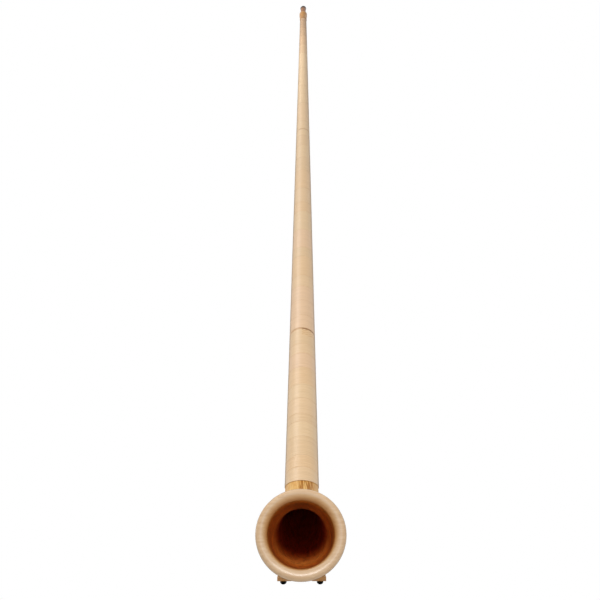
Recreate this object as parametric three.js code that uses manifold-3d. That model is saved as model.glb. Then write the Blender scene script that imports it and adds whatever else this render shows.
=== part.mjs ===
// A three-part alphorn lying on its foot and its mouthpiece receiver.
// Millimetres, +Z up. The bell opens towards -Y and up, and the mouthpiece end points to +Y.
// Distances along the horn are measured on its centreline, from the bell's mouth inwards.
import * as THREE from 'three';
import { mergeVertices } from 'three/addons/utils/BufferGeometryUtils.js';
import Module from 'manifold-3d';

const wasm = await Module();
wasm.setup();

// Centreline
const bell_tail = 15;
const bend_radius = 402;
const bend_angle = THREE.MathUtils.degToRad(57);
const bell_straight = 549;
const middle_length = 1235;
const upper_length = 1192;

// Outside diameters over the cane wrap, at the bend and at the receiver
const bend_diameter = 83.2;
const small_end_diameter = 28.2;
const wrap_thickness = 1.4;
const wood_wall = 6.2;

// Bell flare, and the lip ring that crowns it and stands out round it
const bell_outer_diameter = 160;
const bell_wall = 8;
const flare_power_outside = 2.6;
const flare_fullness_outside = 1;
const flare_power_inside = 2.4;
const flare_fullness_inside = 1.2;
const lip_stand = 16.3;
const lip_seat_depth = 12;
const lip_skirt = 14;
const lip_back_round = 9;
const neck_wrap_reach = 58;

// Fits
const glue_gap = 0.3;
const seam_gap = 0.3;
const shoulder_gap = 0.3;
const sliding_gap = 0.15;
const seal_gap = 0.1;

// Section joints: a brass tenon that slides into a brass socket, sealed by two rings
const tenon_reach = 58;
const tenon_root = 45;
const tenon_wall = 2.8;
const socket_wall = 1;
const socket_clearance_depth = 4;
const groove_depth = 1.5;
const groove_width = 2.4;
const groove_from_tip = 10;
const groove_spacing = 30;

// Receiver at the small end
const receiver_diameter = 35;
const receiver_length = 73;
const receiver_barrel = 26;
const receiver_edge = 1.5;
const receiver_cap = 12;
const receiver_near_rim = 2.4;
const bush_length = 34;
const bush_diameter = 17;
const bush_mouth_bore = 12.6;
const bush_inner_bore = 11.4;

// Mouthpiece
const mouthpiece_reach = 74;
const shank_length = 28;
const rim_diameter = 27;
const rim_thickness = 5;
const rim_crown = 2;
const body_diameter = 24.6;
const waist_diameter = 22.6;
const waist_reach = 42;
const neck_diameter = 14.4;
const neck_reach = 6;
const cup_diameter = 18.4;
const cup_depth = 17;
const throat_diameter = 6.4;
const throat_length = 5;
const backbore_diameter = 8.8;

// Foot, an upright board under the bend, and its rubber pads
const foot_turn = THREE.MathUtils.degToRad(43.6);
const foot_thickness = 12;
const foot_base_width = 112;
const foot_waist_width = 102;
const foot_flare_height = 22;
const cradle_drop = 52;
const arch_half_width = 24;
const arch_height = 15;
const pad_spacing = 84;
const pad_diameter = 15;
const pad_height = 11;
const pad_edge = 1.5;
const screw_head_diameter = 6.4;
const screw_head_height = 2;
const screw_shank_diameter = 3;
const screw_length = 19;
const screw_recess_depth = 5.6;
const screw_hole_gap = 0.3;
const tube_clearance = 8;

// How finely round things are drawn
const sides = 32;
const small_sides = 24;
const bend_steps = 14;
const neck_steps = 2;
const curve_steps = 6;

// Sizes that follow from these
const bend_start = bell_tail + bend_radius * bend_angle;
const bell_end = bend_start + bell_straight;
const middle_end = bell_end + middle_length;
const horn_length = middle_end + upper_length;
const cone_length = horn_length - bend_start;
const bend_over_radius = bend_diameter / 2;
const small_over_radius = small_end_diameter / 2;
const receiver_radius = receiver_diameter / 2;
const bell_radius = bell_outer_diameter / 2;
const lip_radius = bell_radius + lip_stand;

// The horn lies on its pads and on the receiver's far edge, so its straight part slopes a little
const bend_height = bend_over_radius + tube_clearance;
const lean_length = cone_length - receiver_edge;
const slope = Math.asin(bend_height / Math.hypot(lean_length, receiver_radius))
  - Math.atan2(receiver_radius, lean_length);

// Radii along the horn
function coneRadius(distance) {
  const share = (distance - bend_start) / cone_length;
  return bend_over_radius + (small_over_radius - bend_over_radius) * share;
}

function woodRadius(distance) {
  return coneRadius(distance) - wrap_thickness - glue_gap;
}

// The widening at a distance, of which a fuller flare does more before the mouth
function flare(distance, atMouth, power, fullness) {
  const share = Math.max(0, 1 - distance / bend_start);
  return atMouth * share ** power * (1 + fullness * (1 - share));
}

function outerRadius(distance) {
  const extra = bell_radius - woodRadius(0);
  return woodRadius(distance) + flare(distance, extra, flare_power_outside, flare_fullness_outside);
}

function boreRadius(distance) {
  const extra = bell_radius - bell_wall - (woodRadius(0) - wood_wall);
  return woodRadius(distance) - wood_wall + flare(distance, extra, flare_power_inside, flare_fullness_inside);
}

// The centreline's point, inward heading and upward normal at a distance from the mouth
function station(distance) {
  const into = (bend_start - distance) / bend_radius;
  const turn = THREE.MathUtils.clamp(into, 0, bend_angle);
  const point = new THREE.Vector3(0, 0, bend_height);
  const atBend = headings(slope);
  point.addScaledVector(atBend.inward, -bend_radius * Math.sin(turn));
  point.addScaledVector(atBend.up, bend_radius * (1 - Math.cos(turn)));
  const here = headings(slope + turn);
  const straight = distance - bend_start + bend_radius * turn;
  point.addScaledVector(here.inward, straight);
  return { point, ...here };
}

function headings(angle) {
  const inward = new THREE.Vector3(0, Math.cos(angle), -Math.sin(angle));
  const up = new THREE.Vector3(0, Math.sin(angle), Math.cos(angle));
  return { inward, up };
}

// A closed mesh with shared corners and its faces outwards
function closed(geometry) {
  geometry.deleteAttribute('normal');
  geometry.deleteAttribute('uv');
  const merged = mergeVertices(geometry);
  const corners = merged.index.array;
  const kept = [];
  for (let i = 0; i < corners.length; i += 3) {
    const [a, b, c] = corners.slice(i, i + 3);
    if (a !== b && b !== c && c !== a) {
      kept.push(a, b, c);
    }
  }
  if (volume(merged.attributes.position, kept) < 0) {
    kept.reverse();
  }
  merged.setIndex(kept);
  return merged;
}

function volume(position, corners) {
  const [a, b, c] = [new THREE.Vector3(), new THREE.Vector3(), new THREE.Vector3()];
  let sum = 0;
  for (let i = 0; i < corners.length; i += 3) {
    a.fromBufferAttribute(position, corners[i]);
    b.fromBufferAttribute(position, corners[i + 1]);
    c.fromBufferAttribute(position, corners[i + 2]);
    sum += a.dot(b.cross(c));
  }
  return sum;
}

function meshGeometry(points, corners) {
  const geometry = new THREE.BufferGeometry();
  geometry.setAttribute('position', new THREE.Float32BufferAttribute(points, 3));
  geometry.setIndex(corners);
  return closed(geometry);
}

// A profile of [distance, radius] corners swept round the centreline: all the way, or one half shell
function sweep(profile, half = 0) {
  const turns = half ? sides / 2 : sides;
  const points = [];
  for (const [distance, radius] of profile) {
    const { point, up } = station(distance);
    for (let k = 0; k <= turns; k++) {
      const angle = 2 * Math.PI * k / sides - Math.PI / 2;
      const across = radius * Math.cos(angle);
      const x = half ? half * Math.max(across, seam_gap / 2) : across;
      const place = point.clone().addScaledVector(up, radius * Math.sin(angle));
      points.push(x, place.y, place.z);
    }
  }
  const corners = [];
  const row = turns + 1;
  profile.forEach((_, i) => {
    const next = (i + 1) % profile.length;
    for (let k = 0; k < turns; k++) {
      const [a, b, c, d] = [i * row + k, next * row + k, next * row + k + 1, i * row + k + 1];
      corners.push(a, b, c, a, c, d);
    }
  });
  if (half) {
    const seam = THREE.ShapeUtils.triangulateShape(profile.map(([d, r]) => new THREE.Vector2(d, r)), []);
    const turned = profileArea(profile) > 0;
    for (const [a, b, c] of seam) {
      const same = profileArea([profile[a], profile[b], profile[c]]) > 0 === turned;
      const [p, q] = same ? [b, c] : [c, b];
      corners.push(a * row + turns, p * row + turns, q * row + turns);
      corners.push(a * row, q * row, p * row);
    }
  }
  return meshGeometry(points, corners);
}

function profileArea(profile) {
  return profile.reduce((sum, [d, r], i) => {
    const [nextD, nextR] = profile[(i + 1) % profile.length];
    return sum + d * nextR - nextD * r;
  }, 0);
}

// A solid rod along the bend, a little larger than the bell's outside, to cut what cradles it
function bellCutter() {
  const profile = [[0, 0]];
  profile.push(...wall(0, bend_start, (distance) => outerRadius(distance) + glue_gap, bend_steps * 2));
  profile.push([bend_start, 0]);
  return sweep(profile);
}

// Profile corners along a wall, from one distance to another
function wall(from, to, radiusAt, steps) {
  const corners = [];
  for (let i = 0; i <= steps; i++) {
    const distance = from + (to - from) * i / steps;
    corners.push([distance, radiusAt(distance)]);
  }
  return corners;
}

// Profile corners along an elliptical quarter between two points, leaving the first square to the horn
function quarter(from, to, steps, startsAcross) {
  const corners = [];
  for (let i = 1; i < steps; i++) {
    const angle = Math.PI / 2 * i / steps;
    const [first, second] = [1 - Math.cos(angle), Math.sin(angle)];
    const [alongShare, acrossShare] = startsAcross ? [first, second] : [second, first];
    corners.push([
      from[0] + (to[0] - from[0]) * alongShare,
      from[1] + (to[1] - from[1]) * acrossShare,
    ]);
  }
  return corners;
}

// Materials
function finish(color, roughness, metalness = 0) {
  return new THREE.MeshStandardMaterial({ color, roughness, metalness });
}

const spruce = finish(0xdcae74, 0.4);
const cane = finish(0xe6c8a0, 0.45);
const lip_wood = finish(0xd7bb93, 0.3);
const fruitwood = finish(0xb07f45, 0.35);
const mouthpiece_wood = finish(0x9a6b42, 0.35);
const brass = finish(0xc9a24a, 0.3, 1);
const rubber = finish(0x111111, 0.85);
const steel = finish(0xb9bcc0, 0.35, 1);

const horn = new THREE.Group();

function add(name, geometry, material) {
  const mesh = new THREE.Mesh(geometry, material);
  mesh.name = name;
  horn.add(mesh);
  return mesh;
}

// Section joints: where a tenon of the section nearer the mouthpiece enters the one nearer the bell
function jointSizes(end) {
  const bore = boreRadius(end);
  const tenonOut = bore + tenon_wall;
  const socketIn = tenonOut + sliding_gap;
  const socketOut = socketIn + socket_wall;
  const grooveFloor = tenonOut - groove_depth;
  return { end, bore, tenonOut, socketIn, socketOut, grooveFloor, recess: socketOut + glue_gap };
}

const bell_joint = jointSizes(bell_end);
const upper_joint = jointSizes(middle_end);
const socket_depth = tenon_reach + socket_clearance_depth;

// The stepped end of a section that holds a socket, as profile corners from its bore outwards
function socketEnd({ end, recess }) {
  const floor = end - socket_depth - glue_gap;
  return [[floor, boreRadius(floor)], [floor, recess], [end, recess], [end, outerRadius(end)]];
}

// The stepped end of a section that holds a tenon's root, from its outside inwards
function tenonEnd({ end, tenonOut }) {
  const start = end + shoulder_gap;
  const floor = start + tenon_root + glue_gap;
  const seat = tenonOut + glue_gap;
  return [[start, outerRadius(start)], [start, seat], [floor, seat], [floor, boreRadius(floor)]];
}

function addShells(name, profile) {
  add(`${name}_shell_right`, sweep(profile, 1), spruce);
  add(`${name}_shell_left`, sweep(profile, -1), spruce);
}

function addSocket(name, { end, socketIn, socketOut }) {
  const start = end - socket_depth;
  add(name, sweep([[start, socketIn], [end, socketIn], [end, socketOut], [start, socketOut]]), brass);
}

function grooveStarts({ end }) {
  const first = end - tenon_reach + groove_from_tip;
  return [first, first + groove_spacing];
}

function addTenon(name, joint) {
  const { end, bore, tenonOut, grooveFloor } = joint;
  const tip = end - tenon_reach;
  const root = end + shoulder_gap + tenon_root;
  const profile = [[root, bore], [tip, bore], [tip, tenonOut]];
  for (const start of grooveStarts(joint)) {
    profile.push([start, tenonOut], [start, grooveFloor]);
    profile.push([start + groove_width, grooveFloor], [start + groove_width, tenonOut]);
  }
  profile.push([root, tenonOut]);
  add(name, sweep(profile), brass);
}

function addSeals(name, joint) {
  const room = joint.socketIn - joint.grooveFloor;
  const radius = room / 2 - seal_gap;
  const middle = joint.grooveFloor + room / 2;
  grooveStarts(joint).forEach((start, i) => {
    const profile = [];
    for (let k = 0; k < curve_steps; k++) {
      const angle = 2 * Math.PI * k / curve_steps;
      const distance = start + groove_width / 2 + radius * Math.cos(angle);
      profile.push([distance, middle + radius * Math.sin(angle)]);
    }
    add(`${name}_seal_${i + 1}`, sweep(profile), rubber);
  });
}

const wrapInside = (distance) => outerRadius(distance) + glue_gap;
const wrapOutside = (distance) => wrapInside(distance) + wrap_thickness;

// A wrap over a straight stretch, after any corners that it shares with a bent one
function addWrap(name, from, to, bentWall = () => []) {
  const inside = [...bentWall(wrapInside), [from, wrapInside(from)], [to, wrapInside(to)]];
  const outside = [...bentWall(wrapOutside), [from, wrapOutside(from)], [to, wrapOutside(to)]];
  add(name, sweep([...inside, ...outside.reverse()]), cane);
}

// Bell section: two half shells glued on the plane of the bend, wrapped up to the neck
const neck_end = bend_start - neck_wrap_reach;
const neckWall = (radiusAt) => wall(neck_end, bend_start, radiusAt, neck_steps).slice(0, -1);
const bentWall = (radiusAt) => [
  ...wall(lip_seat_depth, neck_end, radiusAt, bend_steps).slice(0, -1),
  ...neckWall(radiusAt),
  [bend_start, radiusAt(bend_start)],
];
addShells('bell', [...bentWall(boreRadius), ...socketEnd(bell_joint), ...bentWall(outerRadius).reverse()]);
addSocket('bell_socket', bell_joint);
addWrap('bell_wrap', bend_start, bell_end, neckWall);

// Lip ring: a rounded front, and a skirt that grips the end of the bell
const lip_inner = boreRadius(lip_seat_depth);
const lip_seat = lip_seat_depth - glue_gap;
const skirt_end = lip_seat + lip_skirt;
const lip_crest = (lip_inner + lip_radius) / 2;
const lip_back = skirt_end - lip_back_round;
const skirt_radius = outerRadius(lip_seat) + glue_gap;
const back_radius = (skirt_radius + lip_radius) / 2;
const lip_profile = [[lip_seat, lip_inner]];
lip_profile.push(...quarter([lip_seat, lip_inner], [0, lip_crest], curve_steps, false));
lip_profile.push([0, lip_crest]);
lip_profile.push(...quarter([0, lip_crest], [lip_seat, lip_radius], curve_steps, true));
lip_profile.push([lip_seat, lip_radius]);
lip_profile.push(...quarter([lip_back, lip_radius], [skirt_end, back_radius], curve_steps, false));
lip_profile.push([skirt_end, back_radius]);
lip_profile.push(...wall(skirt_end, lip_seat, (d) => outerRadius(d) + glue_gap, 2));
add('bell_lip', sweep(lip_profile), lip_wood);

// Middle section
addShells('middle', [...tenonEnd(bell_joint), ...socketEnd(upper_joint)]);
addTenon('middle_tenon', bell_joint);
addSeals('middle_tenon', bell_joint);
addSocket('middle_socket', upper_joint);
addWrap('middle_wrap', bell_end + shoulder_gap, middle_end);

// Upper section, bored out at its small end for the receiver bush
const receiver_start = horn_length - receiver_length;
const cap_start = horn_length - receiver_cap;
const upper_end = cap_start - glue_gap;
const bush_start = horn_length - bush_length;
const bush_radius = bush_diameter / 2;
const bush_seat = bush_radius + glue_gap;
const bush_floor = bush_start - glue_gap;
addShells('upper', [
  ...tenonEnd(upper_joint),
  [bush_floor, boreRadius(bush_floor)],
  [bush_floor, bush_seat],
  [upper_end, bush_seat],
  [upper_end, outerRadius(upper_end)],
]);
addTenon('upper_tenon', upper_joint);
addSeals('upper_tenon', upper_joint);
addWrap('upper_wrap', middle_end + shoulder_gap, receiver_start - glue_gap);

// Receiver: a turned wooden head over the small end, lined with a brass bush
const barrel_start = horn_length - receiver_barrel;
const head_inner = (distance) => outerRadius(distance) + glue_gap;
add('receiver_head', sweep([
  [receiver_start, head_inner(receiver_start)],
  [receiver_start, head_inner(receiver_start) + receiver_near_rim],
  [barrel_start, receiver_radius],
  [horn_length - receiver_edge, receiver_radius],
  [horn_length, receiver_radius - receiver_edge],
  [horn_length, bush_seat],
  [cap_start, bush_seat],
  [cap_start, head_inner(cap_start)],
]), fruitwood);
add('receiver_bush', sweep([
  [bush_start, bush_inner_bore / 2],
  [horn_length, bush_mouth_bore / 2],
  [horn_length, bush_radius],
  [bush_start, bush_radius],
]), brass);

// Mouthpiece: rim, cup, throat and backbore, with a shank that tapers into the bush
const mouthpiece_end = horn_length + mouthpiece_reach;
const shank_end = horn_length - shank_length;
const bush_taper = (bush_mouth_bore - bush_inner_bore) / 2 / bush_length;
const shank_radius = bush_mouth_bore / 2 - bush_taper * shank_length - sliding_gap;
const shank_mouth_radius = bush_mouth_bore / 2 - sliding_gap;
const rim_radius = rim_diameter / 2;
const cup_radius = cup_diameter / 2;
const throat_radius = throat_diameter / 2;
const rim_start = mouthpiece_end - rim_thickness;
const cup_edge = [mouthpiece_end - rim_crown, cup_radius];
const cup_floor = [mouthpiece_end - cup_depth, throat_radius];
const rim_crest = [mouthpiece_end, (rim_radius + cup_radius) / 2];
const rim_shoulder = [mouthpiece_end - rim_crown, rim_radius];
add('mouthpiece', sweep([
  [shank_end, shank_radius],
  [horn_length, shank_mouth_radius],
  [horn_length + shoulder_gap, neck_diameter / 2],
  [horn_length + neck_reach, neck_diameter / 2],
  ...quarter([horn_length + neck_reach, neck_diameter / 2], [horn_length + waist_reach, waist_diameter / 2],
    curve_steps, true),
  [horn_length + waist_reach, waist_diameter / 2],
  [rim_start, body_diameter / 2],
  [rim_start, rim_radius],
  rim_shoulder,
  ...quarter(rim_shoulder, rim_crest, curve_steps / 2, false),
  rim_crest,
  ...quarter(rim_crest, cup_edge, curve_steps / 2, true),
  cup_edge,
  ...quarter(cup_edge, cup_floor, curve_steps, false),
  cup_floor,
  [mouthpiece_end - cup_depth - throat_length, throat_radius],
  [shank_end, backbore_diameter / 2],
]), mouthpiece_wood);

// Round pieces that stand upright are turned about Z
function turned(profile) {
  const outline = profile.map(([radius, height]) => new THREE.Vector2(radius, height));
  return closed(new THREE.LatheGeometry(outline, small_sides).rotateX(Math.PI / 2));
}

function solid(geometry) {
  const vertProperties = Float32Array.from(geometry.attributes.position.array);
  const triVerts = Uint32Array.from(geometry.index.array);
  return new wasm.Manifold(new wasm.Mesh({ numProp: 3, vertProperties, triVerts }));
}

function surface(cut) {
  const mesh = cut.getMesh();
  return meshGeometry(Array.from(mesh.vertProperties), Array.from(mesh.triVerts));
}

// Foot: an upright board with an arch between its legs and a cradle that holds the bell
const foot_under = station(bend_start - bend_radius * foot_turn).point;
const foot_height = foot_under.z - cradle_drop - pad_height;

function footOutline() {
  const base = foot_base_width / 2;
  const waist = foot_waist_width / 2;
  const shape = new THREE.Shape();
  shape.moveTo(-base, 0);
  shape.lineTo(-arch_half_width, 0);
  shape.quadraticCurveTo(0, arch_height * 2, arch_half_width, 0);
  shape.lineTo(base, 0);
  shape.lineTo(waist, foot_flare_height);
  shape.lineTo(waist, foot_height);
  shape.lineTo(-waist, foot_height);
  shape.lineTo(-waist, foot_flare_height);
  shape.closePath();
  return shape;
}

function footBoard() {
  const settings = { depth: foot_thickness, bevelEnabled: false, curveSegments: curve_steps };
  const board = closed(new THREE.ExtrudeGeometry(footOutline(), settings));
  board.rotateX(Math.PI / 2);
  board.translate(0, foot_under.y + foot_thickness / 2, pad_height);
  let cut = solid(board).subtract(solid(bellCutter()));
  const holeRadius = screw_shank_diameter / 2 + screw_hole_gap;
  const holeTop = screw_recess_depth + screw_length + screw_hole_gap;
  for (const side of [-1, 1]) {
    const hole = turned([[0, 0], [holeRadius, 0], [holeRadius, holeTop], [0, holeTop]]);
    hole.translate(side * pad_spacing / 2, foot_under.y, 0);
    cut = cut.subtract(solid(hole));
  }
  return surface(cut);
}

add('foot_board', footBoard(), lip_wood);

// Pads: rubber buttons, each held by a screw whose head sits in a recess
const pad_radius = pad_diameter / 2;
const recess_radius = screw_head_diameter / 2 + screw_hole_gap;
const pad_hole_radius = screw_shank_diameter / 2 + screw_hole_gap;
const pad_top = pad_height - glue_gap;
const head_top = screw_recess_depth - screw_hole_gap;
for (const [side, word] of [[-1, 'left'], [1, 'right']]) {
  const pad = add(`foot_pad_${word}`, turned([
    [recess_radius, 0],
    [pad_radius - pad_edge, 0],
    [pad_radius, pad_edge],
    [pad_radius, pad_top],
    [pad_hole_radius, pad_top],
    [pad_hole_radius, screw_recess_depth],
    [recess_radius, screw_recess_depth],
    [recess_radius, 0],
  ]), rubber);
  const screw = add(`foot_screw_${word}`, turned([
    [0, head_top - screw_head_height],
    [screw_head_diameter / 2, head_top - screw_head_height],
    [screw_head_diameter / 2, head_top],
    [screw_shank_diameter / 2, head_top],
    [screw_shank_diameter / 2, head_top + screw_length - screw_head_height],
    [0, head_top + screw_length],
  ]), steel);
  for (const piece of [pad, screw]) {
    piece.position.set(side * pad_spacing / 2, foot_under.y, 0);
  }
}

// The origin is on the floor, under the middle of the whole horn
const reach = new THREE.Box3().setFromObject(horn);
horn.position.y = -(reach.min.y + reach.max.y) / 2;

export default horn;
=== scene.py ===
"""The looks of a three-part alphorn, wound with cane, that lies with its bell towards the camera."""
import math
import random

import bmesh
import bpy
from mathutils import Euler, Matrix, Vector

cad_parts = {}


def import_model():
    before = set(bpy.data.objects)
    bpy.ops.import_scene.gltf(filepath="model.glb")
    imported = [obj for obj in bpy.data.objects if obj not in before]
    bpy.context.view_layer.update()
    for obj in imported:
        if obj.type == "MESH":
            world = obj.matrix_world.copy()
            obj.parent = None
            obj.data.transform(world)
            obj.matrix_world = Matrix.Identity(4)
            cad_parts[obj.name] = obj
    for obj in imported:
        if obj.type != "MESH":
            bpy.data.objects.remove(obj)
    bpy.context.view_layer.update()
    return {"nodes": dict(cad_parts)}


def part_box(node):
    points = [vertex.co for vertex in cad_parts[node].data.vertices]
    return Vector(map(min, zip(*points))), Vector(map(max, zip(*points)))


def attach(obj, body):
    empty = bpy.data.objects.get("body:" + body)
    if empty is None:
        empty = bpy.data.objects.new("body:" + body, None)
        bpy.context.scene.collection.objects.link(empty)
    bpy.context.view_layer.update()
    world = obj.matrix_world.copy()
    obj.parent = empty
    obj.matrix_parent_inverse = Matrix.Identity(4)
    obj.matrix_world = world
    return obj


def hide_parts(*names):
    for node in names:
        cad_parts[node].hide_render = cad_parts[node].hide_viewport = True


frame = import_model()

MM = 0.001

# Camera, fitted to the photo: focal length and image size in pixels, place in metres
image_size = 600
focal_pixels = 1050
sensor_width = 36
camera_place = Vector((0.0165, -3.10204, 1.98))
camera_pitch = math.radians(37.61)
camera_yaw = math.radians(0.54)
camera_roll = math.radians(0.55)
view_depth = 50

# Centreline, as distances from the bell's mouth inwards
bell_tail = 15 * MM
bend_radius = 402 * MM
bend_angle = math.radians(57)
bell_straight = 549 * MM
middle_length = 1235 * MM
upper_length = 1192 * MM

# Diameters of the wound tube and the wood under it
bend_diameter = 83.2 * MM
small_end_diameter = 28.2 * MM
wrap_thickness = 1.4 * MM
wood_wall = 6.2 * MM
bell_outer_diameter = 160 * MM
bell_wall = 8 * MM
flare_power_outside = 2.6
flare_fullness_outside = 1
flare_power_inside = 2.4
flare_fullness_inside = 1.2
lip_stand = 16.3 * MM
lip_seat_depth = 12 * MM
lip_skirt = 14 * MM
lip_back_round = 9 * MM
neck_wrap_reach = 58 * MM
neck_slant = 46 * MM

# Fits
glue_gap = 0.3 * MM
shoulder_gap = 0.3 * MM
sliding_gap = 0.15 * MM
skin = 0.1 * MM

# Section joints
tenon_reach = 58 * MM
tenon_root = 45 * MM
tenon_wall = 2.8 * MM
socket_wall = 1 * MM
socket_clearance_depth = 4 * MM
groove_depth = 1.5 * MM
groove_width = 2.4 * MM
groove_from_tip = 10 * MM
groove_spacing = 30 * MM
socket_edge = 0.3 * MM
tenon_edge = 0.6 * MM

# Receiver and mouthpiece
receiver_diameter = 35 * MM
receiver_length = 73 * MM
receiver_barrel = 26 * MM
receiver_edge = 1.5 * MM
receiver_cap = 12 * MM
receiver_near_rim = 2.4 * MM
receiver_near_edge = 0.6 * MM
bush_length = 34 * MM
bush_diameter = 17 * MM
bush_mouth_bore = 12.6 * MM
bush_inner_bore = 11.4 * MM
mouthpiece_reach = 74 * MM
shank_length = 28 * MM
rim_diameter = 27 * MM
rim_thickness = 5 * MM
rim_crown = 2 * MM
rim_edge = 0.5 * MM
dark_rim_reach = 12 * MM
body_diameter = 24.6 * MM
body_edge = 0.8 * MM
body_step = 0.4 * MM
waist_diameter = 22.6 * MM
waist_reach = 42 * MM
neck_diameter = 14.4 * MM
neck_reach = 6 * MM
cup_diameter = 18.4 * MM
cup_depth = 17 * MM
throat_diameter = 6.4 * MM
throat_length = 5 * MM
backbore_diameter = 8.8 * MM

# Foot and pads, and the room under the tube at its bend
foot_weld = 0.01 * MM
foot_ease = 1 * MM
foot_flat_angle = math.radians(4)
foot_edge_angle = math.radians(40)
pad_diameter = 15 * MM
pad_height = 11 * MM
pad_round = 1.8 * MM
screw_head_diameter = 6.4 * MM
screw_recess_depth = 5.6 * MM
tube_clearance = 8 * MM

# Cane winding
strip_width = 6 * MM
strip_groove = 0.28 * MM
strip_crown = 0.6
join_groove = 0.8 * MM
end_round = 1.3 * MM
neck_round = 0.6 * MM
joint_line = 6.5 * MM
crossed_reach = 34 * MM
crossed_turns = 330
crossed_slant = 9
crossed_line = 0.3
crossed_side = 0.96
rows_per_turn = 6
winding_sides = 72

# How finely round things are drawn
fine_sides = 128
tube_sides = 64
small_sides = 48
seal_sides = 12
bend_steps = 64
sleeve_steps = 12
hollow_steps = 12
round_steps = 8
edge_steps = 5
lip_inner_steps = 16
lip_outer_steps = 14
lip_seat_steps = 3
weld_reach = 0.004 * MM

# How deep the grain, the pores and the fine wear are
grain_relief = 0.3 * MM
pore_relief = 0.2 * MM
wear_relief = 0.1 * MM

# Sizes that follow
bend_start = bell_tail + bend_radius * bend_angle
bell_end = bend_start + bell_straight
middle_end = bell_end + middle_length
horn_length = middle_end + upper_length
cone_length = horn_length - bend_start
bend_height = bend_diameter / 2 + tube_clearance
lean_length = cone_length - receiver_edge
slope = (math.asin(bend_height / math.hypot(lean_length, receiver_diameter / 2))
         - math.atan2(receiver_diameter / 2, lean_length))
neck_end = bend_start - neck_wrap_reach
receiver_start = horn_length - receiver_length
mouthpiece_end = horn_length + mouthpiece_reach


def headings(angle):
    inward = Vector((0, math.cos(angle), -math.sin(angle)))
    up = Vector((0, math.sin(angle), math.cos(angle)))
    return inward, up


def local_station(distance):
    """The centreline's point and headings, inward and up, before the horn moves to the frame's origin."""
    turn = min(max((bend_start - distance) / bend_radius, 0), bend_angle)
    inward, up = headings(slope)
    point = Vector((0, 0, bend_height)) - inward * bend_radius * math.sin(turn)
    point += up * bend_radius * (1 - math.cos(turn))
    inward, up = headings(slope + turn)
    point += inward * (distance - bend_start + bend_radius * turn)
    return point, inward, up


# The frame's origin lies under the middle of the horn, so the mouthpiece's far end sets the shift along Y
far_point, _, far_up = local_station(mouthpiece_end)
rim_crest_radius = (rim_diameter + cup_diameter) / 4
shift = Vector((0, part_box("mouthpiece")[1].y - (far_point + far_up * rim_crest_radius).y, 0))


def station(distance):
    point, inward, up = local_station(distance)
    return point + shift, inward, up


def cone_radius(distance):
    share = (distance - bend_start) / cone_length
    return (bend_diameter + (small_end_diameter - bend_diameter) * share) / 2


def wood_radius(distance):
    return cone_radius(distance) - wrap_thickness - glue_gap


def flare(distance, at_mouth, power, fullness):
    share = max(0, 1 - distance / bend_start)
    return at_mouth * share ** power * (1 + fullness * (1 - share))


def outer_radius(distance):
    extra = bell_outer_diameter / 2 - wood_radius(0)
    return wood_radius(distance) + flare(distance, extra, flare_power_outside, flare_fullness_outside)


def bore_radius(distance):
    extra = bell_outer_diameter / 2 - bell_wall - (wood_radius(0) - wood_wall)
    widening = flare(distance, extra, flare_power_inside, flare_fullness_inside)
    return wood_radius(distance) - wood_wall + widening


def wall(start, end, radius_at, steps):
    return [(start + (end - start) * i / steps, radius_at(start + (end - start) * i / steps))
            for i in range(steps + 1)]


def quarter(start, end, steps, starts_across, fullness=1):
    """Corners of an elliptical quarter between two profile corners, with both: flatter above fullness 1."""
    corners = []
    for i in range(steps + 1):
        angle = math.pi / 2 * i / steps
        first, second = 1 - math.cos(angle) ** fullness, math.sin(angle) ** fullness
        along, across = (first, second) if starts_across else (second, first)
        corners.append((start[0] + (end[0] - start[0]) * along, start[1] + (end[1] - start[1]) * across))
    return corners


def new_object(name, mesh):
    piece = bpy.data.objects.new(name, mesh)
    bpy.context.scene.collection.objects.link(piece)
    return piece


def finish_mesh(name, bm, sharp_angle=35):
    bmesh.ops.remove_doubles(bm, verts=bm.verts, dist=weld_reach)
    bmesh.ops.recalc_face_normals(bm, faces=bm.faces)
    mesh = bpy.data.meshes.new(name)
    bm.to_mesh(mesh)
    bm.free()
    mesh.polygons.foreach_set("use_smooth", [True] * len(mesh.polygons))
    mesh.set_sharp_from_angle(angle=math.radians(sharp_angle))
    return new_object(name, mesh)


def round_point(distance, radius, angle):
    """A point round the centreline, which is on the right at no angle and on top a quarter turn later."""
    point, _, up = station(distance)
    place = point + up * radius * math.sin(angle)
    return radius * math.cos(angle), place.y, place.z


def ring(bm, distance, radius, sides, half=0):
    """A ring of points round the centreline, or half of one, whose ends lie on the seam."""
    made = []
    for k in range(sides // 2 + 1 if half else sides):
        x, y, z = round_point(distance, radius, 2 * math.pi * k / sides - math.pi / 2)
        made.append(bm.verts.new((half * max(x, 0) if half else x, y, z)))
    return made


def bridge(bm, rings, half=0):
    """Faces between each ring and the next, and from the last ring to the first."""
    made = []
    for i, a in enumerate(rings):
        b = rings[(i + 1) % len(rings)]
        for k in range(len(a) - 1 if half else len(a)):
            n = (k + 1) % len(a)
            made.append(bm.faces.new((a[k], a[n], b[n], b[k])))
    return made


def sweep(name, profile, sides, half=0, sharp_angle=35):
    """A profile of (distance, radius) corners swept all the way round the centreline, or half way."""
    bm = bmesh.new()
    rings = [ring(bm, distance, radius, sides, half) for distance, radius in profile]
    bridge(bm, rings, half)
    if half:
        for end in (0, -1):
            bm.faces.new([r[end] for r in rings])
    return finish_mesh(name, bm, sharp_angle)


# Materials
def material(name):
    made = bpy.data.materials.new(name)
    made.use_nodes = True
    tree = made.node_tree
    shader = tree.nodes["Principled BSDF"]
    return made, tree, shader


def node(tree, kind, **settings):
    made = tree.nodes.new(kind)
    for key, value in settings.items():
        if key in made.inputs:
            made.inputs[key].default_value = value
        else:
            setattr(made, key, value)
    return made


def link(tree, source, target):
    tree.links.new(source, target)


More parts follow.
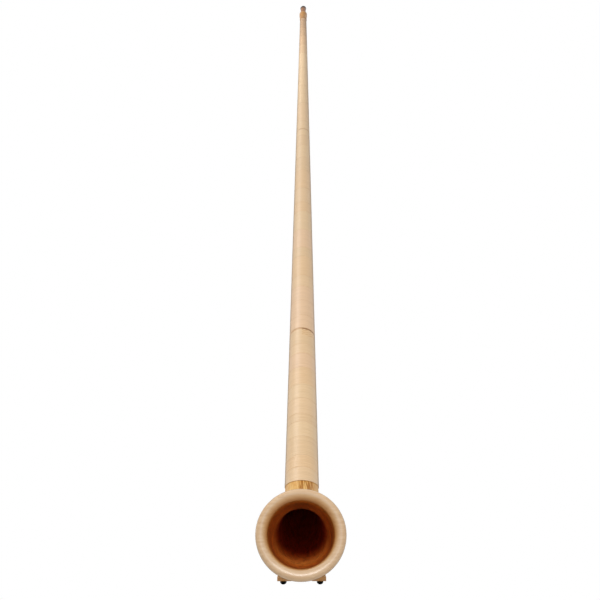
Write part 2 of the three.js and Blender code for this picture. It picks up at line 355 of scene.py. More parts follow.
def colour(hex_code):
    """A hex colour in Blender's linear values."""
    parts = [int(hex_code[i:i + 2], 16) / 255 for i in (0, 2, 4)]
    linear = [p / 12.92 if p <= 0.04045 else ((p + 0.055) / 1.055) ** 2.4 for p in parts]
    return (*linear, 1)


def ramp(tree, stops, source):
    made = node(tree, "ShaderNodeValToRGB")
    elements = made.color_ramp.elements
    for _ in range(len(stops) - 2):
        elements.new(0.5)
    for element, (place, code) in zip(elements, stops):
        element.position = place
        element.color = colour(code)
    link(tree, source, made.inputs["Fac"])
    return made.outputs["Color"]


def mix(tree, mode, amount, first, second):
    made = node(tree, "ShaderNodeMix", data_type="RGBA", blend_type=mode)
    for value, socket in ((amount, made.inputs[0]), (first, made.inputs[6]), (second, made.inputs[7])):
        if isinstance(value, bpy.types.NodeSocket):
            link(tree, value, socket)
        else:
            socket.default_value = value
    return made.outputs[2]


def combine(tree, operation, first, second):
    made = node(tree, "ShaderNodeMath", operation=operation)
    link(tree, first, made.inputs[0])
    link(tree, second, made.inputs[1])
    return made.outputs[0]


def map_range(tree, source, limits):
    """A value moved from one range to another: both ends of the first, then of the second."""
    made = node(tree, "ShaderNodeMapRange")
    for socket, limit in zip(made.inputs[1:5], limits):
        socket.default_value = limit
    link(tree, source, made.inputs[0])
    return made.outputs[0]


def bump(tree, shader, height, strength, distance):
    made = node(tree, "ShaderNodeBump", Strength=strength, Distance=distance)
    link(tree, height, made.inputs["Height"])
    link(tree, made.outputs["Normal"], shader.inputs["Normal"])


def object_place(tree, scale, turn=(0, 0, 0)):
    """Object coordinates, turned and then stretched by a scale for each axis."""
    place = node(tree, "ShaderNodeTexCoord")
    turned = node(tree, "ShaderNodeMapping", Rotation=turn)
    stretched = node(tree, "ShaderNodeMapping", Scale=scale)
    link(tree, place.outputs["Object"], turned.inputs["Vector"])
    link(tree, turned.outputs["Vector"], stretched.inputs["Vector"])
    return stretched.outputs["Vector"]


# Long grain: how much finer the fibres are than the stripes, across and along, and how much they show
finer_across = 6
finer_along = 3
fibres_share = 0.25


def long_grain(tree, across, along, stops):
    """Softwood grain along the horn: fine fibres over wider early and late wood stripes."""
    stripes = node(tree, "ShaderNodeTexNoise", Scale=1, Detail=2, Roughness=0.5)
    link(tree, object_place(tree, (across, along, across)), stripes.inputs["Vector"])
    fibres = node(tree, "ShaderNodeTexNoise", Scale=1, Detail=2, Roughness=0.5)
    finer = (across * finer_across, along * finer_along, across * finer_across)
    link(tree, object_place(tree, finer), fibres.inputs["Vector"])
    both = mix(tree, "MIX", fibres_share, stripes.outputs["Color"], fibres.outputs["Color"])
    return ramp(tree, stops, both), fibres.outputs["Fac"]


def painted_outline_shade(tree, base):
    """Painted shade: darkens a colour where the surface turns away from the viewer, so that the outline
    looks dark.
    """
    facing = node(tree, "ShaderNodeLayerWeight", Blend=0.5)
    shade = ramp(tree, [(0.72, "ffffff"), (0.97, "6e5c48")], facing.outputs["Facing"])
    return mix(tree, "MULTIPLY", 1, base, shade)


# Where the varnish begins to fade and where it ends: 0 faces the viewer, and 1 is seen along the skin
varnish_fade = (0.68, 0.92)


def varnish(tree, shader, roughness, weight, coat_roughness, painted=None):
    """A clear coat that fades where the surface turns away, so that the outline stays dark."""
    facing = node(tree, "ShaderNodeLayerWeight", Blend=0.5)
    gloss = map_range(tree, facing.outputs["Facing"], (*varnish_fade, weight, 0))
    if painted:
        gloss = combine(tree, "MULTIPLY", gloss, painted)
    link(tree, gloss, shader.inputs["Coat Weight"])
    link(tree, gloss, shader.inputs["Specular IOR Level"])
    shader.inputs["Roughness"].default_value = roughness
    shader.inputs["Coat Roughness"].default_value = coat_roughness


# The bare wood's dark stripes: how far to each side of the middle they are shown or held back, how many
# there are across, up and along, in a metre, and how they lean
stripes_reach = 50 * MM
stripes_scale = (430, 12, 12)
stripes_lean = (0, 0, -0.1)


def spruce_material():
    """Bare softwood, with dark summer growth that gathers into stripes right of the neck's middle."""
    made, tree, shader = material("bare_spruce")
    stops = [(0.36, "c88c48"), (0.46, "dca65a"), (0.56, "e6b66c"), (0.68, "eec686")]
    base, fibres = long_grain(tree, across=190, along=6, stops=stops)
    stripes = node(tree, "ShaderNodeTexNoise", Scale=1, Detail=1, Roughness=0.4)
    link(tree, object_place(tree, stripes_scale, stripes_lean), stripes.inputs["Vector"])
    dark = ramp(tree, [(0.45, "000000"), (0.53, "ffffff")], stripes.outputs["Fac"])
    place = node(tree, "ShaderNodeTexCoord")
    split = node(tree, "ShaderNodeSeparateXYZ")
    link(tree, place.outputs["Object"], split.inputs[0])
    side = map_range(tree, split.outputs["X"], (-stripes_reach, stripes_reach, 0, 1))
    middle_stops = [(0.38, "000000"), (0.5, "f0f0f0"), (0.7, "f0f0f0"), (0.88, "202020")]
    shown = combine(tree, "MULTIPLY", dark, ramp(tree, middle_stops, side))
    striped = mix(tree, "MIX", shown, base, colour("a0600a"))
    link(tree, striped, shader.inputs["Base Color"])
    varnish(tree, shader, roughness=0.35, weight=0.12, coat_roughness=0.12)
    bump(tree, shader, fibres, strength=0.05, distance=grain_relief)
    return made


def bore_material():
    """Brown varnish, laid thin at the mouth and thick deeper in: the mesh's colours carry how thick,
    together with painted light deeper in and painted shade at the top.
    """
    made, tree, shader = material("varnished_bore")
    stops = [(0.34, "8e8274"), (0.46, "d2c8bc"), (0.56, "f2ece4"), (0.7, "ffffff")]
    grain, fibres = long_grain(tree, across=150, along=5, stops=stops)
    tone = node(tree, "ShaderNodeVertexColor", layer_name="tone")
    link(tree, mix(tree, "MULTIPLY", 0.8, tone.outputs["Color"], grain), shader.inputs["Base Color"])
    shader.inputs["Roughness"].default_value = 0.45
    shader.inputs["Coat Weight"].default_value = 0.2
    shader.inputs["Coat Roughness"].default_value = 0.2
    bump(tree, shader, fibres, strength=0.06, distance=grain_relief)
    return made


def three_stops(codes):
    return list(zip((0.3, 0.5, 0.7), codes))


def close_grain(tree, codes):
    """Close-grained wood, sawn across the horn: its colour, and its grain for the relief."""
    grain = node(tree, "ShaderNodeTexNoise", Scale=1, Detail=5, Roughness=0.55)
    link(tree, object_place(tree, scale=(14, 200, 200)), grain.inputs["Vector"])
    return ramp(tree, three_stops(codes), grain.outputs["Fac"]), grain.outputs["Fac"]


def lip_material():
    """Pale wood, with the bore's brown varnish feathered onto its inner edge: the thicker, the darker. Its
    far reach at the top is painted shade, and painted shade darkens the lip towards its outline.
    """
    made, tree, shader = material("lip_wood")
    pale, grain = close_grain(tree, ("cfab86", "d7b691", "dec09c"))
    stain_and_shade = node(tree, "ShaderNodeVertexColor", layer_name="stain_and_shade")
    split = node(tree, "ShaderNodeSeparateColor")
    link(tree, stain_and_shade.outputs["Color"], split.inputs[0])
    brown = node(tree, "ShaderNodeGamma", Color=colour("a56d32"))
    link(tree, split.outputs[0], brown.inputs["Gamma"])
    stained_and_shaded = mix(tree, "MULTIPLY", 1, pale, brown.outputs["Color"])
    link(tree, painted_outline_shade(tree, stained_and_shaded), shader.inputs["Base Color"])
    varnish(tree, shader, roughness=0.4, weight=1, coat_roughness=0.05, painted=split.outputs[1])
    bump(tree, shader, grain, strength=0.03, distance=pore_relief)
    return made


def shaded_foot_material():
    """The lip's kind of wood, left duller, and darker and more orange as painted shade of the bell's shadow
    and its warm bounced light.
    """
    made, tree, shader = material("shaded_foot_wood")
    base, grain = close_grain(tree, ("b57c3c", "c08846", "ca9454"))
    link(tree, base, shader.inputs["Base Color"])
    varnish(tree, shader, roughness=0.5, weight=0.2, coat_roughness=0.2)
    bump(tree, shader, grain, strength=0.08, distance=pore_relief)
    return made


def turned_wood(name, codes):
    made, tree, shader = material(name)
    base, fibres = long_grain(tree, across=260, along=25, stops=three_stops(codes))
    link(tree, base, shader.inputs["Base Color"])
    varnish(tree, shader, roughness=0.35, weight=0.3, coat_roughness=0.15)
    bump(tree, shader, fibres, strength=0.04, distance=pore_relief)
    return made


def plain_material(name, code, roughness, metallic, noise_scale, noise_share, specular=0.5):
    """A finish of one colour with fine uneven wear in tone and height."""
    made, tree, shader = material(name)
    wear = node(tree, "ShaderNodeTexNoise", Scale=noise_scale, Detail=5, Roughness=0.6)
    place = node(tree, "ShaderNodeTexCoord")
    link(tree, place.outputs["Object"], wear.inputs["Vector"])
    worn = ramp(tree, [(0.3, "8c8c8c"), (0.7, "ffffff")], wear.outputs["Fac"])
    link(tree, mix(tree, "MULTIPLY", noise_share, colour(code), worn), shader.inputs["Base Color"])
    shader.inputs["Roughness"].default_value = roughness
    shader.inputs["Metallic"].default_value = metallic
    shader.inputs["Specular IOR Level"].default_value = specular
    bump(tree, shader, wear.outputs["Fac"], strength=0.1, distance=wear_relief)
    return made


spruce = spruce_material()
bore = bore_material()
lip_wood = lip_material()
shaded_foot_wood = shaded_foot_material()
fruitwood = turned_wood("fruitwood", ("9c6420", "b47c30", "c48e40"))
mouthpiece_wood = turned_wood("mouthpiece_wood", ("7e4818", "965c24", "a86e30"))
dark_rim = turned_wood("dark_rim", ("24140a", "341e10", "422a16"))
brass = plain_material("brass", "caa24c", roughness=0.28, metallic=1, noise_scale=60, noise_share=0.3)
rubber = plain_material("rubber", "050505", roughness=0.9, metallic=0, noise_scale=400, noise_share=0.5,
                        specular=0.05)
steel = plain_material("steel", "b4b7bb", roughness=0.35, metallic=1, noise_scale=120, noise_share=0.3)


def cane_material():
    """Split cane: tone by rod from the mesh's colours, which also carry painted shade, with fine fibres
    along each strip, and painted shade towards the outline.
    """
    made, tree, shader = material("wound_cane")
    tone = node(tree, "ShaderNodeVertexColor", layer_name="tone")
    fibres = node(tree, "ShaderNodeTexNoise", Scale=1, Detail=1, Roughness=0.5)
    link(tree, object_place(tree, scale=(30, 700, 30)), fibres.inputs["Vector"])
    fine = ramp(tree, [(0.3, "f0ebe2"), (0.65, "ffffff")], fibres.outputs["Fac"])
    base = mix(tree, "MULTIPLY", 0.6, tone.outputs["Color"], fine)
    link(tree, painted_outline_shade(tree, base), shader.inputs["Base Color"])
    varnish(tree, shader, roughness=0.5, weight=0.42, coat_roughness=0.32)
    bump(tree, shader, fibres.outputs["Fac"], strength=0.03, distance=wear_relief)
    return made


cane = cane_material()


def assign(piece, *materials):
    for made in materials:
        piece.data.materials.append(made)


def settle(piece, body, slot, *nodes):
    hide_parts(*nodes)
    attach(piece, body)


# Section joints, with the CAD's sizes
def joint_sizes(end):
    bore_at_end = bore_radius(end)
    tenon_out = bore_at_end + tenon_wall
    socket_in = tenon_out + sliding_gap
    socket_out = socket_in + socket_wall
    groove_floor = tenon_out - groove_depth
    return {"end": end, "bore": bore_at_end, "tenon_out": tenon_out, "socket_in": socket_in,
            "socket_out": socket_out, "groove_floor": groove_floor, "recess": socket_out + glue_gap}


bell_joint = joint_sizes(bell_end)
upper_joint = joint_sizes(middle_end)
socket_depth = tenon_reach + socket_clearance_depth


def socket_end(joint):
    floor = joint["end"] - socket_depth - glue_gap
    return [(floor, bore_radius(floor)), (floor, joint["recess"]), (joint["end"], joint["recess"]),
            (joint["end"], outer_radius(joint["end"]))]


def tenon_end(joint):
    start = joint["end"] + shoulder_gap
    floor = start + tenon_root + glue_gap
    seat = joint["tenon_out"] + glue_gap
    return [(start, outer_radius(start)), (start, seat), (floor, seat), (floor, bore_radius(floor))]


def groove_starts(joint):
    first = joint["end"] - tenon_reach + groove_from_tip
    return [first, first + groove_spacing]


# The bore's varnish with painted light: its tone at depths in mm from the mouth, lighter from 75 to 98 mm
# as painted light where the lamps' light falls off inside
bore_tones_and_light = [(0, "c46e1e"), (14, "bc681c"), (45, "b85a1c"), (75, "e17924"), (98, "e68b38"),
              (140, "c86121"), (172, "a63809"), (1000, "a23507")]

# Painted shade of the lip's shadow at the bore's top, from a little behind the lip
top_painted_shade_share = 0.45
top_narrowness = 8
top_clear = 8 * MM


def bore_tone_and_light(distance):
    depth = distance / MM
    for (near, first), (far, second) in zip(bore_tones_and_light, bore_tones_and_light[1:]):
        if depth <= far:
            share = (depth - near) / (far - near)
            return [a + (b - a) * share for a, b in zip(colour(first), colour(second))]
    return colour(bore_tones_and_light[-1][1])


def bore_faces(piece):
    """Faces nearer the centreline than the wall's middle take the bore's material and its tone, with
    painted shade at the top.
    """
    layer = piece.data.color_attributes.new("tone", "FLOAT_COLOR", "CORNER")
    for face in piece.data.polygons:
        centre = Vector(face.center)
        point, distance = min(bell_samples, key=lambda s: (s[0].yz - centre.yz).length_squared)
        reach = (centre - point).length
        middle = (bore_radius(distance) + outer_radius(distance)) / 2
        face.material_index = 1 if reach < middle else 0
        rise = max((centre - point).dot(station(distance)[2]) / reach, 0)
        behind = min(max(distance - lip_seat_depth - top_clear, 0) / top_clear, 1)
        shade = 1 - top_painted_shade_share * rise ** top_narrowness * behind
        tone = [*(part * shade for part in bore_tone_and_light(distance)[:3]), 1]
        for corner in face.loop_indices:
            layer.data[corner].color = tone


bell_depths = [bend_start * i / bend_steps for i in range(bend_steps + 1)]
bell_depths += [bend_start + bell_straight * i / bend_steps for i in range(1, bend_steps + 1)]
bell_samples = [(station(depth)[0], depth) for depth in bell_depths]


def shells():
    """The wood: a right and a left half for each section, glued on the plane of the bend."""
    inside = wall(lip_seat_depth, bend_start, bore_radius, bend_steps)
    outside = wall(lip_seat_depth, bend_start, outer_radius, bend_steps)
    bell_profile = inside + socket_end(bell_joint) + outside[::-1]
    upper_end = horn_length - receiver_cap - glue_gap
    bush_floor = horn_length - bush_length - glue_gap
    bush_seat = bush_diameter / 2 + glue_gap
    upper_profile = tenon_end(upper_joint) + [
        (bush_floor, bore_radius(bush_floor)), (bush_floor, bush_seat), (upper_end, bush_seat),
        (upper_end, outer_radius(upper_end))]
    middle_profile = tenon_end(bell_joint) + socket_end(upper_joint)
    sections = (("bell", bell_profile, fine_sides), ("middle", middle_profile, tube_sides),
                ("upper", upper_profile, tube_sides))
    for name, profile, sides in sections:
        for side, word in ((1, "right"), (-1, "left")):
            piece = sweep(f"{name}_wood_{word}", profile, sides, half=side)
            assign(piece, spruce, bore)
            if name == "bell":
                bore_faces(piece)
            settle(piece, f"{name}_section", "spruce", f"{name}_shell_{word}")


def sleeve(name, profile, sides, body):
    piece = sweep(name + "_sleeve", profile, sides)
    assign(piece, brass)
    settle(piece, body, "brass", name)


def socket(name, joint, body):
    start, end = joint["end"] - socket_depth, joint["end"]
    inner, outer = joint["socket_in"], joint["socket_out"]
    profile = [(start, inner), (end - socket_edge, inner), (end, inner + socket_edge), (end, outer),
               (start, outer)]
    sleeve(name, profile, tube_sides, body)


def tenon(name, joint, body):
    """A tenon with its two grooves, and the rubber ring in each."""
    tip = joint["end"] - tenon_reach
    root = joint["end"] + shoulder_gap + tenon_root
    outer, floor_radius = joint["tenon_out"], joint["groove_floor"]
    profile = [(root, joint["bore"]), (tip, joint["bore"]), (tip, outer - tenon_edge),
               (tip + tenon_edge, outer)]
    for start in groove_starts(joint):
        end = start + groove_width
        profile += [(start, outer), (start, floor_radius), (end, floor_radius), (end, outer)]
    profile.append((root, outer))
    sleeve(name, profile, tube_sides, body)
    room = joint["socket_in"] - floor_radius
    thickness = room / 2 - skin
    for i, start in enumerate(groove_starts(joint)):
        angles = [2 * math.pi * k / seal_sides for k in range(seal_sides)]
        profile = [(start + groove_width / 2 + thickness * math.cos(angle),
                    floor_radius + room / 2 + thickness * math.sin(angle)) for angle in angles]
        piece = sweep(f"{name}_ring_{i + 1}", profile, tube_sides, sharp_angle=80)
        assign(piece, rubber)
        settle(piece, body, "rubber", f"{name}_seal_{i + 1}")


def fittings():
    """Brass sockets, tenons and the receiver's bush, and the rubber rings."""
    socket("bell_socket", bell_joint, "bell_section")
    socket("middle_socket", upper_joint, "middle_section")
    tenon("middle_tenon", bell_joint, "middle_section")
    tenon("upper_tenon", upper_joint, "upper_section")
    start = horn_length - bush_length
    bush_profile = [(start, bush_inner_bore / 2), (horn_length, bush_mouth_bore / 2),
                    (horn_length, bush_diameter / 2), (start, bush_diameter / 2)]
    sleeve("receiver_bush", bush_profile, small_sides, "upper_section")


# The lip's crest: how far out it lies, how far back from the mouth, and how flat the way in from it is
crest_share = 0.64
crest_back = 1.4 * MM
crest_fullness = 1.25

# The bore's varnish on the lip, with painted shade where it reaches far at the top: its reach, as shares of
# the way to the crest, where it is widest, in degrees from the right, how much of it lies at the bore's
# edge, and how fast it thins
stain_narrow_share = 0.3
stain_and_shade_wide_share = 1.15
stain_and_shade_heading = 96
stain_most_share = 0.7
stain_fade = 1.6

# The lip's polish is fullest in a band just inside the crest
gloss_edge = 4 * MM
outer_gloss_share = 0.12
inner_gloss_share = 0.3


def lip():
    """The rounded ring that crowns the bell."""
    inner = bore_radius(lip_seat_depth)
    seat = lip_seat_depth - glue_gap
    skirt_end = seat + lip_skirt
    outer = bell_outer_diameter / 2 + lip_stand - skin
    crest = inner + (outer - inner) * crest_share
    back_radius = (outer_radius(seat) + glue_gap + outer) / 2
    back_start = (skirt_end - lip_back_round, outer)
    profile = quarter((seat, inner), (crest_back, crest), lip_inner_steps, False, crest_fullness)
    profile += quarter((crest_back, crest), (seat, outer), lip_outer_steps, True)[1:]
    profile += quarter(back_start, (skirt_end, back_radius), round_steps, False)
    profile += wall(skirt_end, seat, lambda d: outer_radius(d) + glue_gap, lip_seat_steps)
    piece = sweep("lip_ring", profile, fine_sides, sharp_angle=50)
    stain_and_shade_lip(piece, inner, crest)
    assign(piece, lip_wood)
    settle(piece, "bell_section", "lip_wood", "bell_lip")


def stain_and_shade_lip(piece, inner, crest):
    """Varnish reaches from the bore onto the lip, far at the top and little at the bottom: the far reach at
    the top is painted shade.
    """
    layer = piece.data.color_attributes.new("stain_and_shade", "FLOAT_COLOR", "CORNER")
    mouth, _, up = station(0)
    for loop in piece.data.loops:
        place = piece.data.vertices[loop.vertex_index].co - mouth
        rise = place.dot(up)
        reach = math.hypot(place.x, rise)
        towards = (1 + math.cos(math.atan2(rise, place.x) - math.radians(stain_and_shade_heading))) / 2
        width = stain_narrow_share + (stain_and_shade_wide_share - stain_narrow_share) * towards
        share = min(max((reach - inner) / (crest - inner) / width, 0), 1)
        amount = stain_most_share * (1 - share) ** stain_fade
        band = 1 - abs(reach - crest + gloss_edge / 2) / gloss_edge
        gloss = max(band, outer_gloss_share if reach > crest else inner_gloss_share)
        layer.data[loop.index].color = (amount, gloss, 0, 1)


# Cane tones, and the rods of cane from the bend to the small end: where each ends, in mm, and its tone
plain_cane = "e7c59a"
tone_shares = {"plain": (1, 1, 1), "pink": (1.01, 0.985, 1.04), "pale": (1.0, 1.02, 1.02),
               "warm": (1.0, 0.975, 0.94), "dull": (0.975, 0.975, 0.96), "sand": (0.95, 0.92, 0.89),
               "tan": (0.88, 0.82, 0.77), "fawn": (0.78, 0.71, 0.65), "brown": (0.68, 0.6, 0.54)}
rods = [(-4, "plain"), (37, "warm"), (105, "dull"), (160, "pale"), (190, "dull"), (248, "plain"),
        (306, "pale"), (374, "warm"), (437, "pink"), (478, "plain"), (550, "dull"), (608, "pink"),
        (683, "pink"), (754, "pink"), (812, "plain"), (916, "warm"), (968, "dull"), (1072, "pink"),
        (1185, "pale"), (1246, "warm"), (1343, "plain"), (1466, "warm"), (1562, "dull"), (1652, "pale"),
        (1731, "dull"), (1853, "pale"), (2006, "plain"), (2168, "pale"), (2344, "pale"), (2500, "pale"),
        (2590, "sand"), (2690, "tan"), (2780, "fawn"), (3100, "brown")]

# How a place changes the cane's tone: the line at a section's end, the crossed part, a strip's edge and the
# next strip, and the sleeve under the skin. The first joint's line is darker on the right, the strips'
# edges are darker and the sleeve is darker, all as painted shade
plain_shares = (1, 1, 1)
end_line_shares = (0.82, 0.7, 0.58)
first_line_and_shade_shares = (0.46, 0.31, 0.18)
crossed_dark_shares = (0.82, 0.7, 0.54)
crossed_light_shares = (1.07, 1.06, 1.04)
strip_edge_shade_share = 0.95
strip_uneven_share = 0.014
sleeve_shade_shares = (0.7, 0.55, 0.42)


def rod_at(distance):
    """The number of the rod that winds this place, counted from the bend."""
    along = (distance - bend_start) / MM
    return next((i for i, (end, _) in enumerate(rods) if along < end), len(rods) - 1)


def strip_radius(distance, share, joined, start, end):
    """The skin's radius across a strip: crowned, sunk at its edges, and rounded off at the wrap's ends."""
    crown = math.sin(math.pi * share) ** strip_crown
    depth = (join_groove if joined else strip_groove) * (1 - crown)
    first_round = neck_round if start < bend_start else end_round
    for reach, rounding in ((distance - start, first_round), (end - distance, end_round)):
        if reach < rounding:
            depth += rounding - math.sqrt(rounding ** 2 - (rounding - reach) ** 2)
    return outer_radius(distance) + glue_gap + wrap_thickness - depth


def wrap_start(start, angle):
    """Where a wrap starts at an angle round the tube: the bell's own wrap ends on a slant at the neck."""
    slant = neck_slant if start < bend_start else 0
    return start + slant * (1 - math.sin(angle)) / 2


def angle_share(k):
    """How far to the right a side of the tube faces, from -1 to 1."""
    return math.cos(2 * math.pi * (k + 0.5) / winding_sides)


def joint_light(distance, right, end):
    """Cane is darker in the line where a section ends, darker still on the right of the first joint as
    painted shade, and crossed at the right before the first joint.
    """
    before = end - distance
    if before > crossed_reach or end not in (bell_end, middle_end):
        return plain_shares
    if before < joint_line:
        return first_line_and_shade_shares if end == bell_end and right > 0 else end_line_shares
    if end == bell_end and 0 < right < crossed_side:
        near_line = min(abs(math.sin(before * crossed_turns + right * crossed_slant)),
                        abs(math.sin(before * crossed_turns - right * crossed_slant)))
        return crossed_dark_shares if near_line < crossed_line else crossed_light_shares
    return plain_shares


def winding(name, start, end, body, replaced, seed):
    """Split cane wound side by side: a helix of crowned strips on a closed sleeve, in its rods' tones, with
    painted shade in places.
    """
    draw = random.Random(seed)
    bm = bmesh.new()
    tone_and_shade_layer = bm.loops.layers.float_color.new("tone")
    turns = int((end - start) / strip_width) + 2
    rows = turns * rows_per_turn + 1
    strips = [draw.uniform(-strip_uneven_share, strip_uneven_share) for _ in range(turns + 1)]
    base = Vector(colour(plain_cane)[:3])
    grid = []
    for j in range(rows):
        line = []
        for k in range(winding_sides):
            angle = 2 * math.pi * k / winding_sides
            first = wrap_start(start, angle)
            along = start + strip_width * (j / rows_per_turn + k / winding_sides - 1)
            distance = min(max(along, first), end)
            share = j % rows_per_turn / rows_per_turn
            back = rod_at(distance - strip_width * share - strip_width / 2)
            joined = share < 0.5 and back != rod_at(distance - strip_width * share + strip_width / 2)
            radius = strip_radius(distance, share, joined, first, end)
            line.append(bm.verts.new(round_point(distance, radius, angle)))
        grid.append(line)
    for j in range(rows - 1):
        for k in range(winding_sides):
            row, side = (j, k + 1) if k + 1 < winding_sides else (j + rows_per_turn, 0)
            if row + 1 >= rows:
                continue
            face = bm.faces.new((grid[j][k], grid[row][side], grid[row + 1][side], grid[j + 1][k]))
            middle = start + strip_width * ((j + 0.5) / rows_per_turn + k / winding_sides - 1)
            tone = tone_shares[rods[rod_at(middle)][1]]
            # Faces along the grooves at each strip's edges are darkened as painted shade
            edge = strip_edge_shade_share if j % rows_per_turn in (0, rows_per_turn - 1) else 1
            light = edge * (1 + strips[j // rows_per_turn])
            near_joint = joint_light(middle, angle_share(k), end)
            code = (*(b * t * light * n for b, t, n in zip(base, tone, near_joint)), 1)
            for loop in face.loops:
                loop[tone_and_shade_layer] = code
    shade = (*(part * share for part, share in zip(base, sleeve_shade_shares)), 1)
    add_sleeve(bm, start, end, tone_and_shade_layer, shade)
    piece = finish_mesh(name, bm, sharp_angle=60)
    assign(piece, cane)
    settle(piece, body, "cane", replaced)


def add_sleeve(bm, start, end, tone_and_shade_layer, shade):
    """The closed sleeve of cane under the crowned skin, which shows at the wrap's ends, darker as painted
    shade.
    """
    bend_part = max(bend_start - start, 0)
    steps = sleeve_steps if bend_part else 1
    places = [start + bend_part * i / steps for i in range(steps + 1)] + [end]
    low = [(d, glue_gap) for d in places]
    high = [(d, glue_gap + wrap_thickness - end_round / 2) for d in places]
    rings = []
    for distance, height in low + high[::-1]:
        made = []
        for k in range(winding_sides):
            angle = 2 * math.pi * k / winding_sides
            here = distance
            if distance < bend_start:
                share = (distance - start) / bend_part
                here = wrap_start(start, angle) * (1 - share) + bend_start * share
            made.append(bm.verts.new(round_point(here, outer_radius(here) + height, angle)))
        rings.append(made)
    for face in bridge(bm, rings):
        for loop in face.loops:
            loop[tone_and_shade_layer] = shade


def receiver_inner(distance):
    return outer_radius(distance) + glue_gap


def receiver():
    barrel_start = horn_length - receiver_barrel
    cap_start = horn_length - receiver_cap
    seat = bush_diameter / 2 + glue_gap
    outer = receiver_diameter / 2 - skin
    near_inner = receiver_inner(receiver_start)
    near = near_inner + receiver_near_rim
    near_start = (receiver_start + receiver_near_edge, near)
    far_start = (horn_length - receiver_edge, outer)
    profile = [(receiver_start, near_inner), (receiver_start, near - receiver_near_edge)]
    profile += quarter(near_start, (barrel_start, outer), round_steps, False)
    profile += quarter(far_start, (horn_length, outer - receiver_edge), edge_steps, False)
    profile += [(horn_length, seat), (cap_start, seat), (cap_start, receiver_inner(cap_start))]
    piece = sweep("receiver_turning", profile, small_sides)
    assign(piece, fruitwood)
    settle(piece, "upper_section", "fruitwood", "receiver_head")


def mouthpiece():
    shank_end = horn_length - shank_length
    taper = (bush_mouth_bore - bush_inner_bore) / 2 / bush_length
    shank_radius = bush_mouth_bore / 2 - taper * shank_length - sliding_gap
    rim, cup = rim_diameter / 2, cup_diameter / 2
    rim_start = mouthpiece_end - rim_thickness
    crest = (rim + cup) / 2
    top = mouthpiece_end - rim_crown
    body = body_diameter / 2
    cup_floor = (mouthpiece_end - cup_depth, throat_diameter / 2)
    profile = [(shank_end, shank_radius), (horn_length, bush_mouth_bore / 2 - sliding_gap),
               (horn_length + shoulder_gap, neck_diameter / 2)]
    profile += quarter((horn_length + neck_reach, neck_diameter / 2),
                       (horn_length + waist_reach, waist_diameter / 2), hollow_steps, True)
    profile += [(rim_start - dark_rim_reach, body), (rim_start - body_edge, body),
                (rim_start, body + body_step), (rim_start, rim - rim_edge), (rim_start + rim_edge, rim)]
    profile += quarter((top, rim), (mouthpiece_end, crest), round_steps, False)
    profile += quarter((mouthpiece_end, crest), (top, cup), round_steps, True)[1:]
    profile += quarter((top, cup), cup_floor, hollow_steps, False)[1:]
    profile += [(cup_floor[0] - throat_length, throat_diameter / 2), (shank_end, backbore_diameter / 2)]
    piece = sweep("mouthpiece_turning", profile, small_sides)
    assign(piece, mouthpiece_wood, dark_rim)
    # The mouthpiece is darker at its rim's end
    dark_rim_start, inward, _ = station(rim_start - dark_rim_reach)
    for face in piece.data.polygons:
        face.material_index = 1 if (face.center - dark_rim_start).dot(inward) > 0 else 0
    settle(piece, "mouthpiece", "mouthpiece_wood", "mouthpiece")


def foot():
    """The foot's board, with its edges eased."""
    source = frame["nodes"]["foot_board"]
    bm = bmesh.new()
    bm.from_mesh(source.data)
    bmesh.ops.remove_doubles(bm, verts=bm.verts, dist=foot_weld)
    bmesh.ops.dissolve_limit(bm, angle_limit=foot_flat_angle, verts=bm.verts, edges=bm.edges)
    edges = [e for e in bm.edges if len(e.link_faces) == 2 and e.calc_face_angle(0) > foot_edge_angle]
    bmesh.ops.bevel(bm, geom=edges, offset=foot_ease, segments=2, profile=0.5, affect="EDGES",
                    clamp_overlap=True)
    piece = finish_mesh("foot_block", bm)
    assign(piece, shaded_foot_wood)
    settle(piece, "bell_section", "lip_wood", "foot_board")


def pads():
    """Rubber pads, each with a recess for its screw's head, and the screws' finish."""
    for word in ("left", "right"):
        low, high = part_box(f"foot_pad_{word}")
        centre = (low + high) / 2
        recess = screw_head_diameter / 2 + glue_gap
        radius, top = pad_diameter / 2, pad_height - glue_gap
        profile = [(0, recess)]
        profile += quarter((0, radius - pad_round), (pad_round, radius), edge_steps, True)
        profile += [(top, radius), (top, recess / 2), (screw_recess_depth, recess / 2),
                    (screw_recess_depth, recess)]
        bm = bmesh.new()
        angles = [2 * math.pi * k / small_sides for k in range(small_sides)]
        rings = []
        for height, reach in profile:
            rings.append([bm.verts.new((centre.x + reach * math.cos(angle),
                                        centre.y + reach * math.sin(angle), height)) for angle in angles])
        bridge(bm, rings)
        piece = finish_mesh(f"pad_{word}", bm)
        assign(piece, rubber)
        settle(piece, "bell_section", "rubber", f"foot_pad_{word}")
        screw = frame["nodes"][f"foot_screw_{word}"]
        screw.data.materials.clear()
        screw.data.materials.append(steel)


winding("bell_cane", neck_end, bell_end, "bell_section", "bell_wrap", seed=3)
winding("middle_cane", bell_end + shoulder_gap, middle_end, "middle_section", "middle_wrap", seed=5)
winding("upper_cane", middle_end + shoulder_gap, receiver_start - glue_gap, "upper_section", "upper_wrap",
        seed=7)
shells()
fittings()
lip()
receiver()
mouthpiece()
foot()
pads()


def camera():
    data = bpy.data.cameras.new("camera")
    data.sensor_width = sensor_width
    data.lens = focal_pixels / image_size * sensor_width
    data.clip_end = view_depth
    made = bpy.data.objects.new("camera", data)
    made.location = camera_place
    aim = Euler((math.pi / 2 - camera_pitch, 0, camera_yaw)).to_matrix()
    made.rotation_euler = (aim @ Matrix.Rotation(-camera_roll, 3, "Z")).to_euler()
    bpy.context.scene.collection.objects.link(made)
    bpy.context.scene.camera = made


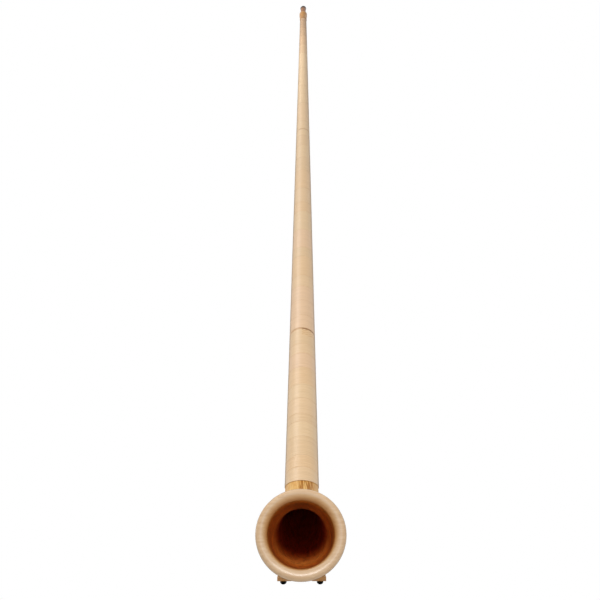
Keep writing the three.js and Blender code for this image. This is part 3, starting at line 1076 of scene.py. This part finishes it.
# Lamps: name, place, target and size in metres, power in watts, and spread in degrees
lamps = [("key", (-2.8, 3.4, 3.3), (0, 0.4, 0), (3, 3), 112, 180),
         ("top", (0, -1.5, 3.2), (0, -1.6, 0.1), (2.2, 1.0), 46, 180),
         ("fill", (0.7, -4.2, 1.3), (0, -1.2, 0.1), (2.4, 1.6), 10, 180),
         ("far", (-1.0, 1.35, 0.75), (0, 1.35, 0), (0.5, 0.5), 1.5, 95)]


def area_lamp(name, place, target, size, power, spread):
    data = bpy.data.lights.new(name, "AREA")
    data.shape = "RECTANGLE"
    data.size, data.size_y = size
    data.energy = power
    data.spread = math.radians(spread)
    made = bpy.data.objects.new(name, data)
    made.location = place
    made.rotation_euler = (Vector(target) - Vector(place)).to_track_quat("-Z", "Y").to_euler()
    bpy.context.scene.collection.objects.link(made)


# The floor's reach in metres, the grey that lights the object from below, and the plain light all round
floor_reach = 30
floor_share = 0.7
world_strength = 0.42


def backdrop_rays(tree):
    """1 for rays that see the plain white backdrop: the camera's own, reflected and passed on ones."""
    seen = node(tree, "ShaderNodeLightPath")
    straight = combine(tree, "MAXIMUM", seen.outputs["Is Camera Ray"], seen.outputs["Is Glossy Ray"])
    return combine(tree, "MAXIMUM", straight, seen.outputs["Is Transmission Ray"])


def floor():
    bm = bmesh.new()
    corners = ((-1, -1), (1, -1), (1, 1), (-1, 1))
    bm.faces.new([bm.verts.new((x * floor_reach, y * floor_reach, 0)) for x, y in corners])
    mesh = bpy.data.meshes.new("floor")
    bm.to_mesh(mesh)
    bm.free()
    plane = new_object("floor", mesh)
    made, tree, shader = material("floor_white")
    shader.inputs["Base Color"].default_value = (floor_share, floor_share, floor_share, 1)
    shader.inputs["Roughness"].default_value = 0.9
    glow = node(tree, "ShaderNodeEmission", Strength=1)
    blend = node(tree, "ShaderNodeMixShader")
    link(tree, backdrop_rays(tree), blend.inputs[0])
    link(tree, shader.outputs["BSDF"], blend.inputs[1])
    link(tree, glow.outputs["Emission"], blend.inputs[2])
    link(tree, blend.outputs["Shader"], tree.nodes["Material Output"].inputs["Surface"])
    plane.data.materials.append(made)


def world():
    made = bpy.data.worlds.new("studio")
    made.use_nodes = True
    tree = made.node_tree
    background = tree.nodes["Background"]
    background.inputs["Color"].default_value = (1, 1, 1, 1)
    background.inputs["Strength"].default_value = world_strength
    bright = node(tree, "ShaderNodeBackground", Strength=1)
    blend = node(tree, "ShaderNodeMixShader")
    link(tree, backdrop_rays(tree), blend.inputs[0])
    link(tree, background.outputs["Background"], blend.inputs[1])
    link(tree, bright.outputs["Background"], blend.inputs[2])
    link(tree, blend.outputs["Shader"], tree.nodes["World Output"].inputs["Surface"])
    bpy.context.scene.world = made


camera()
floor()
world()
for lamp in lamps:
    area_lamp(*lamp)
bpy.context.scene.view_settings.view_transform = "Standard"
